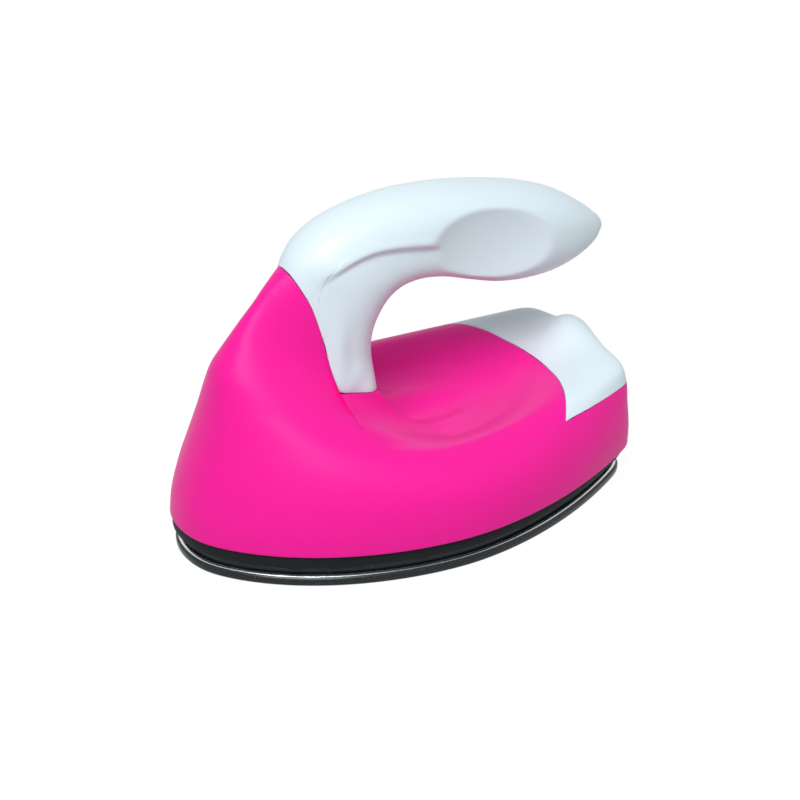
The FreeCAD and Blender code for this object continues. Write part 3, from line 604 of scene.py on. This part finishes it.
def planOutline(inset, angle):
    nose = -base["length"] / 2 + inset
    heel = base["length"] / 2 - inset
    half = base["width"] / 2 - inset
    x = (nose + heel) / 2 + (heel - nose) / 2 * np.cos(angle)
    side = halfWidth(x, nose, heel, base["widestX"], half, base["taper"], base["cornerPower"])
    return x, side * np.sign(np.sin(angle))


def evenAngles(columns):
    # column angles that fall at even steps round the outline
    dense = np.linspace(-math.pi, math.pi, 20001)
    x, y = planOutline(0.0, dense)
    run = np.concatenate([[0], np.cumsum(np.hypot(np.diff(x), np.diff(y)))])
    return np.interp(np.linspace(0, run[-1], columns + 1)[:-1], run, dense)


def profileRows(profile, angle):
    rows = []
    for inset, z in profile:
        x, y = planOutline(inset, angle)
        rows.append(np.stack([x, y, np.full_like(x, z)], -1))
    return np.array(rows)


def makeSole():
    angle = evenAngles(base["columns"])
    rows = profileRows(base["soleProfile"], angle)
    shares = np.array(base["fillShares"])[:, None, None]
    flatUnder = rows[0] * shares
    flatTop = rows[-1] * shares[::-1]
    flatTop[..., 2] = rows[-1][0, 2]
    piece = welded("coatedSole", [(np.concatenate([flatUnder, rows, flatTop]), True)], base["crispAbove"])
    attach(piece, "housing")
    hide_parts("soleplate")
    return piece


def makeSkirt():
    angle = evenAngles(2 * base["columns"])
    rows = profileRows(base["skirtProfile"], angle)
    x = rows[..., 0]
    drop = np.zeros_like(x)
    for nubX in base["nubs"]:
        off = np.abs(x - nubX) / base["nubRadius"]
        drop = np.maximum(drop, base["nubDrop"] * np.sqrt(np.maximum(1 - off**2, 0)))
    start, end = base["stepX"]
    ease = base["stepEase"]
    step = softStep(x, start - ease, start) * (1 - softStep(x, end, end + ease))
    drop = (drop + base["stepDrop"] * step) * (1 - softStep(rows[..., 2], *base["edgeZ"]))
    first, last = base["edgeRows"]
    rows[first:last, :, 2] -= drop[first:last]
    closed = np.concatenate([rows, rows[:1]])
    piece = welded("heatSkirt", [(closed, True)], base["crispAbove"])
    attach(piece, "housing")
    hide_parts("heat_skirt")
    return piece


neckTurns, neckRatios = matchNeck()
whiteHandle = makeHandle()
coverEdges, capColumns = coverLines()
pinkCover = makeCover(coverEdges, capColumns)
whiteCap = makeCap(coverEdges, capColumns)
coatedSole = makeSole()
heatSkirt = makeSkirt()


# Finishes

class Wire:
    # a node socket that can stand in a sum, where it adds Math nodes
    def __init__(self, paint, socket):
        self.paint = paint
        self.socket = socket

    def math(self, operation, first, second):
        return self.paint.node("ShaderNodeMath", {"operation": operation}, {0: first, 1: second})

    def __radd__(self, other):
        return self.math("ADD", other, self)

    def __sub__(self, other):
        return self.math("SUBTRACT", self, other)

    def __mul__(self, other):
        return self.math("MULTIPLY", self, other)


class Paint:
    # one material with its node tree
    def __init__(self, name, **surface):
        self.material = bpy.data.materials.new(name)
        self.material.use_nodes = True
        self.tree = self.material.node_tree
        self.surface = self.tree.nodes["Principled BSDF"]
        for socket, value in surface.items():
            self.surface.inputs[socket.replace("_", " ")].default_value = value
        self.place = Wire(self, self.tree.nodes.new("ShaderNodeTexCoord").outputs["Object"])

    def node(self, kind, settings, inputs, output=0):
        made = self.tree.nodes.new(kind)
        for key, value in settings.items():
            setattr(made, key, value)
        for key, value in inputs.items():
            if isinstance(value, Wire):
                self.tree.links.new(value.socket, made.inputs[key])
            else:
                made.inputs[key].default_value = value
        return Wire(self, made.outputs[output])

    def feed(self, socket, wire):
        self.tree.links.new(wire.socket, self.surface.inputs[socket])

    def noise(self, scale, detail=3.0, roughness=0.5):
        # cloudy pattern, 0 to 1, whose clumps are about 1 / scale metres wide
        inputs = {"Vector": self.place, "Scale": scale, "Detail": detail, "Roughness": roughness}
        return self.node("ShaderNodeTexNoise", {}, inputs)

    def cloudy(self, middle, spread, scale):
        # a value that wanders about its middle by half of spread each way
        return middle + (self.noise(scale) - 0.5) * spread

    def blend(self, factor, first, second):
        return self.node("ShaderNodeMix", {"data_type": "RGBA"}, {0: factor, 6: first, 7: second}, 2)

    def bump(self, height, strength, distance):
        inputs = {"Strength": strength, "Distance": distance, "Height": height}
        self.feed("Normal", self.node("ShaderNodeBump", {}, inputs))

    def heightAt(self):
        return self.node("ShaderNodeSeparateXYZ", {}, {0: self.place}, 2)

    def ramp(self, value, start, end, first, last):
        # from first at start to last at end, and level beyond them
        inputs = {"Value": value, 1: start, 2: end, 3: first, 4: last}
        return self.node("ShaderNodeMapRange", {"clamp": True}, inputs)

    def band(self, value, low, high, soft):
        # 1 between low and high, falling to 0 within soft of each
        return self.ramp(value, low - soft, low, 0.0, 1.0) * self.ramp(value, high, high + soft, 1.0, 0.0)


def srgb(red, green, blue):
    # the linear colour of an 8-bit screen colour
    values = [v / 255 for v in (red, green, blue)]
    return tuple(v / 12.92 if v <= 0.04045 else ((v + 0.055) / 1.055) ** 2.4 for v in values) + (1.0,)


def mouldedPlastic(name, colour, shade, roughness, shine, grain):
    # satin moulded plastic: faint clouding of colour and gloss, and a skin that is a touch uneven
    paint = Paint(name, Specular_IOR_Level=shine, IOR=1.5)
    clouds = paint.noise(35.0, 2.0)
    paint.feed("Base Color", paint.blend(clouds, colour, shade))
    paint.feed("Roughness", paint.cloudy(roughness, 0.08, 140.0))
    paint.bump(paint.noise(1800.0, 2.0), grain, 0.00002)
    return paint.material


def matteSkirt():
    # heat-resistant plastic with a fine spark-eroded grain
    paint = Paint("matteSkirt", Specular_IOR_Level=0.15, IOR=1.45)
    paint.feed("Base Color", paint.blend(paint.noise(90.0), srgb(27, 30, 34), srgb(22, 25, 29)))
    paint.feed("Roughness", paint.cloudy(0.62, 0.12, 300.0))
    paint.bump(paint.noise(4200.0, 4.0, 0.6), 0.35, 0.00006)
    return paint.material


polishedEdge = (2.12 * mm, 2.34 * mm, 0.04 * mm)  # from, to, and how soft


def coatedMetal():
    # black non-stick coating with tiny flecks, and bare polished metal along the top edge
    paint = Paint("coatedMetal", Specular_IOR_Level=0.25, Coat_Weight=0.06, Coat_Roughness=0.12)
    bright = paint.band(paint.heightAt(), *polishedEdge)
    flecks = paint.band(paint.noise(2600.0, 2.0), 0.66, 1.0, 0.03)
    coating = paint.blend(flecks * 0.35, srgb(20, 28, 31), srgb(88, 94, 98))
    paint.feed("Base Color", paint.blend(bright, coating, srgb(205, 212, 216)))
    paint.feed("Metallic", bright)
    paint.feed("Roughness", paint.cloudy(0.24, 0.08, 220.0))
    paint.bump(paint.noise(2600.0, 3.0), 0.12, 0.00004)
    return paint.material


def barePiece(name, colour, metallic, roughness, grainScale, grain):
    # small inner pieces: one colour with light wear in tone, gloss and grain
    paint = Paint(name, Metallic=metallic)
    worn = tuple(v * 0.8 for v in colour[:3]) + (1.0,)
    paint.feed("Base Color", paint.blend(paint.noise(grainScale / 6), colour, worn))
    paint.feed("Roughness", paint.cloudy(roughness, 0.16, grainScale / 3))
    paint.bump(paint.noise(grainScale, 3.0), grain, 0.00003)
    return paint.material


pinkPlastic = mouldedPlastic("pinkPlastic", srgb(243, 26, 154), srgb(240, 24, 151), 0.42, 0.2, 0.06)
whitePlastic = mouldedPlastic("whitePlastic", srgb(219, 235, 243), srgb(216, 232, 241), 0.38, 0.4, 0.06)
slotFinish = {
    "cover": pinkPlastic,
    "white_shell": whitePlastic,
    "skirt": matteSkirt(),
    "sole": coatedMetal(),
    "shield": barePiece("foldedAluminium", srgb(200, 202, 204), 1.0, 0.35, 900.0, 0.15),
    "ceramic": barePiece("plainCeramic", srgb(232, 229, 220), 0.0, 0.7, 1500.0, 0.2),
    "brass": barePiece("stripBrass", srgb(214, 178, 96), 1.0, 0.3, 1100.0, 0.12),
    "film": barePiece("amberFilm", srgb(206, 128, 40), 0.0, 0.3, 700.0, 0.05),
    "spring_steel": barePiece("springSteel", srgb(176, 178, 182), 1.0, 0.32, 1400.0, 0.12),
    "screw_steel": barePiece("zincSteel", srgb(190, 194, 196), 1.0, 0.28, 1600.0, 0.1),
    "bimetal": barePiece("rolledBimetal", srgb(172, 164, 150), 1.0, 0.3, 1300.0, 0.1),
    "sleeve": barePiece("glassSleeve", srgb(236, 234, 226), 0.0, 0.8, 2600.0, 0.6),
    "fuse": barePiece("drawnCan", srgb(196, 198, 202), 1.0, 0.25, 800.0, 0.08),
    "lead": barePiece("siliconeLead", srgb(231, 229, 222), 0.0, 0.5, 1200.0, 0.08),
    "connector": barePiece("naturalNylon", srgb(238, 238, 228), 0.0, 0.42, 1000.0, 0.08),
}
for part in frame["record"]["subparts"]:
    node = frame["nodes"][part["node"]]
    node.data.materials.clear()
    node.data.materials.append(slotFinish[part["material_slot"]])
for piece, slotName in ((whiteHandle, "white_shell"), (whiteCap, "white_shell"), (pinkCover, "cover"),
                        (coatedSole, "sole"), (heatSkirt, "skirt")):
    piece.data.materials.append(slotFinish[slotName])
print("finishes made")


# Studio: pale floor, soft light, and the camera that the photograph was taken with
studio = {
    "azimuth": -31.634,
    "elevation": 28.320,
    "distance": 420.0,
    "aim": (1.664, 0.0, 22.329),
    "lens": 89.46,
    "ambient": 0.26,
    # direction from the object (x, y, z), size and power of each soft light
    "lamps": [((-0.75, -0.8, 1.5), 0.45, 7.2), ((0.9, -0.9, 0.5), 0.9, 0.8), ((0.2, 1.0, 1.0), 1.0, 0.5)],
    "lampDistance": 0.9,
    "floorReach": 6.0,
    "floorZ": -0.00002,
    "floorGrey": 0.45,
    "floorGlow": 0.85,
    "floorStrength": 1.12,
}


def makeCamera():
    turn, tilt = math.radians(studio["azimuth"]), math.radians(studio["elevation"])
    back = Vector((math.sin(turn) * math.cos(tilt), -math.cos(turn) * math.cos(tilt), math.sin(tilt)))
    data = bpy.data.cameras.new("photoCamera")
    data.sensor_width = 36.0
    data.lens = studio["lens"]
    data.clip_start = 0.01
    camera = bpy.data.objects.new("photoCamera", data)
    camera.location = (Vector(studio["aim"]) + back * studio["distance"]) * mm
    camera.rotation_euler = (-back).to_track_quat("-Z", "Y").to_euler()
    bpy.context.scene.collection.objects.link(camera)
    bpy.context.scene.camera = camera


def makeLamps():
    for i, (direction, size, power) in enumerate(studio["lamps"]):
        data = bpy.data.lights.new("softbox%d" % i, "AREA")
        data.shape = "SQUARE"
        data.size = size
        data.energy = power
        lamp = bpy.data.objects.new("softbox%d" % i, data)
        away = Vector(direction).normalized()
        lamp.location = away * studio["lampDistance"]
        lamp.rotation_euler = (-away).to_track_quat("-Z", "Y").to_euler()
        bpy.context.scene.collection.objects.link(lamp)


def directRays(nodes, links):
    # 1 for rays that come from the camera, off a shiny surface or through a clear one, else 0
    paths = nodes.new("ShaderNodeLightPath")
    seen = paths.outputs["Is Camera Ray"]
    for name in ("Is Glossy Ray", "Is Transmission Ray"):
        either = nodes.new("ShaderNodeMath")
        either.operation = "MAXIMUM"
        links.new(seen, either.inputs[0])
        links.new(paths.outputs[name], either.inputs[1])
        seen = either.outputs[0]
    return seen


def mixShaders(nodes, links, amount, first, second, output):
    mix = nodes.new("ShaderNodeMixShader")
    for i, socket in enumerate((amount, first.outputs[0], second.outputs[0])):
        links.new(socket, mix.inputs[i])
    links.new(mix.outputs[0], nodes[output].inputs["Surface"])


def makeWorld():
    # plain ambient light, and pure white wherever a direct ray looks past the floor
    world = bpy.data.worlds.new("studioWorld")
    bpy.context.scene.world = world
    world.use_nodes = True
    nodes, links = world.node_tree.nodes, world.node_tree.links
    ambient = nodes["Background"]
    white = nodes.new("ShaderNodeBackground")
    for background, strength in ((ambient, studio["ambient"]), (white, 1.0)):
        background.inputs["Strength"].default_value = strength
        background.inputs["Color"].default_value = (1, 1, 1, 1)
    mixShaders(nodes, links, directRays(nodes, links), ambient, white, "World Output")


def makeFloor():
    # white floor: for direct rays part of its light is its own, so it stays white and takes the shadow
    reach = studio["floorReach"]
    mesh = bpy.data.meshes.new("studioFloor")
    corners = [(-reach, -reach, 0), (reach, -reach, 0), (reach, reach, 0), (-reach, reach, 0)]
    mesh.from_pydata(corners, [], [(0, 1, 2, 3)])
    floor = bpy.data.objects.new("studioFloor", mesh)
    floor.location.z = studio["floorZ"]
    bpy.context.scene.collection.objects.link(floor)
    material = bpy.data.materials.new("floorWhite")
    material.use_nodes = True
    nodes, links = material.node_tree.nodes, material.node_tree.links
    nodes.remove(nodes["Principled BSDF"])
    diffuse = nodes.new("ShaderNodeBsdfDiffuse")
    diffuse.inputs["Color"].default_value = (studio["floorGrey"],) * 3 + (1,)
    glow = nodes.new("ShaderNodeEmission")
    glow.inputs["Strength"].default_value = studio["floorStrength"]
    amount = nodes.new("ShaderNodeMath")
    amount.operation = "MULTIPLY"
    amount.inputs[1].default_value = studio["floorGlow"]
    links.new(directRays(nodes, links), amount.inputs[0])
    mixShaders(nodes, links, amount.outputs[0], diffuse, glow, "Material Output")
    mesh.materials.append(material)


makeCamera()
makeLamps()
makeWorld()
makeFloor()
bpy.context.scene.view_settings.view_transform = "Standard"
print("studio ready")
